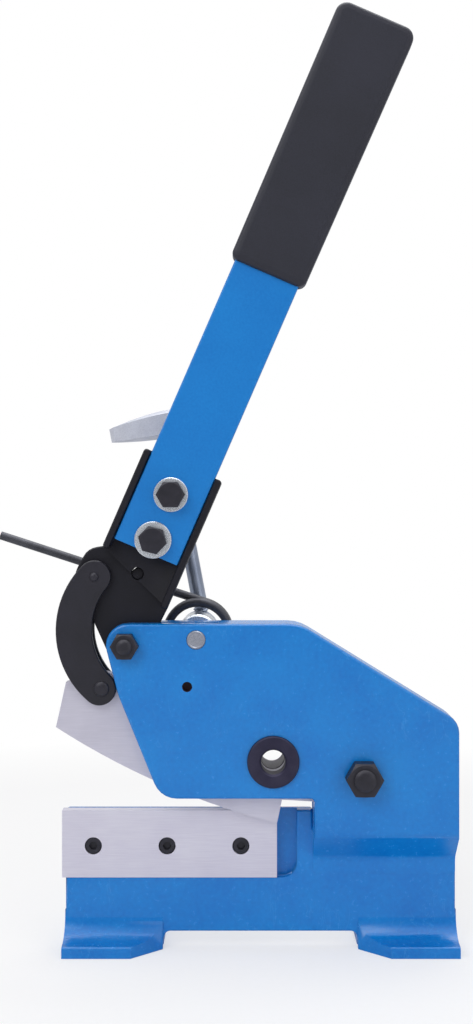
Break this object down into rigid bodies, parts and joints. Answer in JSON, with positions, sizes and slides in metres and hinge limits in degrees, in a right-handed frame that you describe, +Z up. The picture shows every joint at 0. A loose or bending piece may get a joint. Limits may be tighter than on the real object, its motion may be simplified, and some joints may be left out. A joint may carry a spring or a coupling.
{
  "type": "bench shear",
  "caption": "Hand-operated bench shear: blue casting with curved upper blade, long lever with dark grip, C-shaped toggle links, torsion return spring and screw hold-down.",
  "frame": {"origin": "middle of the overall box, at bench level", "axes": "+X along the base towards the blade pivot, +Y away from the operator, +Z up"},
  "size_m": [0.31, 0.1018, 0.621],
  "materials": {
    "blue_paint": "glossy enamel over a casting, slightly uneven",
    "ground_steel": "surface-ground hardened blade steel",
    "black_oxide": "black oxide fastener steel",
    "black_casting": "black painted casting",
    "bush_steel": "dark hardened steel",
    "zinc_steel": "bright zinc plate",
    "bare_steel": "drawn bare steel",
    "cast_grey": "light grey painted casting",
    "spring_steel": "oil-tempered spring wire",
    "vinyl_grip": "soft matte vinyl"
  },
  "bodies": {
    "frame": {"frame_casting": "blue_paint", "lower_blade": "ground_steel", "lower_blade_screw_1": "black_oxide", "lower_blade_screw_2": "black_oxide", "lower_blade_screw_3": "black_oxide", "lower_blade_nut_1": "zinc_steel", "lower_blade_nut_2": "zinc_steel", "lower_blade_nut_3": "zinc_steel", "handle_pivot_bolt": "black_oxide", "handle_pivot_nut": "black_oxide", "handle_pivot_washer": "zinc_steel", "blade_pivot_bolt": "black_oxide", "blade_pivot_nut": "black_oxide", "blade_pivot_washer": "zinc_steel", "bar_bush_near": "bush_steel", "bar_bush_far": "bush_steel", "hold_down_pin": "zinc_steel", "spring_sleeve": "zinc_steel"},
    "lever": {"handle_block": "black_casting", "handle_bar": "blue_paint", "handle_grip": "vinyl_grip", "handle_screw_lower": "black_oxide", "handle_screw_upper": "black_oxide", "handle_nut_lower": "zinc_steel", "handle_nut_upper": "zinc_steel", "handle_washer_lower": "zinc_steel", "handle_washer_upper": "zinc_steel", "handle_back_washer_lower": "zinc_steel", "handle_back_washer_upper": "zinc_steel", "spring_peg": "black_oxide"},
    "blade": {"upper_blade": "ground_steel", "link_low_pin": "black_oxide"},
    "links": {"link_near": "black_casting", "link_far": "black_casting", "link_top_pin": "black_oxide"},
    "spring": {"torsion_spring": "spring_steel"},
    "swivel": {"hold_down_swivel": "bare_steel"},
    "foot": {"hold_down_foot": "bare_steel"},
    "screw": {"hold_down_screw": "bare_steel", "hold_down_wing": "cast_grey"}
  },
  "joints": [
    {"name": "handle_swing", "type": "hinge", "parent": "frame", "child": "lever", "pos_m": [-0.06352, -0.0186, 0.2036], "axis": [0, -1, 0], "range_deg": [0, 80], "stiffness_Nm_per_rad": 3, "springref_deg": -17.19},
    {"name": "blade_swing", "type": "hinge", "parent": "frame", "child": "blade", "pos_m": [0.09178, -0.0186, 0.1181], "axis": [0, -1, 0], "range_deg": [0, 16.7]},
    {"name": "link_swing", "type": "hinge", "parent": "blade", "child": "links", "pos_m": [-0.07932, -0.0186, 0.1749], "axis": [0, -1, 0], "range_deg": [0, 2.9]},
    {"name": "spring_swing", "type": "hinge", "parent": "frame", "child": "spring", "pos_m": [-0.01732, -0.0186, 0.2074], "axis": [0, -1, 0], "range_deg": [0, 29.1], "deforming": ["torsion_spring"]},
    {"name": "hold_down_swing", "type": "hinge", "parent": "frame", "child": "swivel", "pos_m": [-0.01732, -0.0186, 0.2074], "axis": [0, -1, 0], "range_deg": [-20, 20]},
    {"name": "hold_down_feed", "type": "slide", "parent": "swivel", "child": "foot", "axis": [0.1857, 0, -0.9826], "range_m": [0, 0.0181]},
    {"name": "hold_down_turn", "type": "hinge", "parent": "foot", "child": "screw", "pos_m": [-0.01368, 0.0329, 0.20809], "axis": [0.1857, 0, -0.9826], "range_deg": [0, 2160]}
  ],
  "couplings": [
    {"joint": "blade_swing", "follows": "handle_swing", "ratio": 0.2075},
    {"joint": "link_swing", "follows": "handle_swing", "ratio": 0.035},
    {"joint": "spring_swing", "follows": "handle_swing", "ratio": 0.363},
    {"joint": "hold_down_feed", "follows": "hold_down_turn", "m_per_rad": 0.00047746}
  ]
}
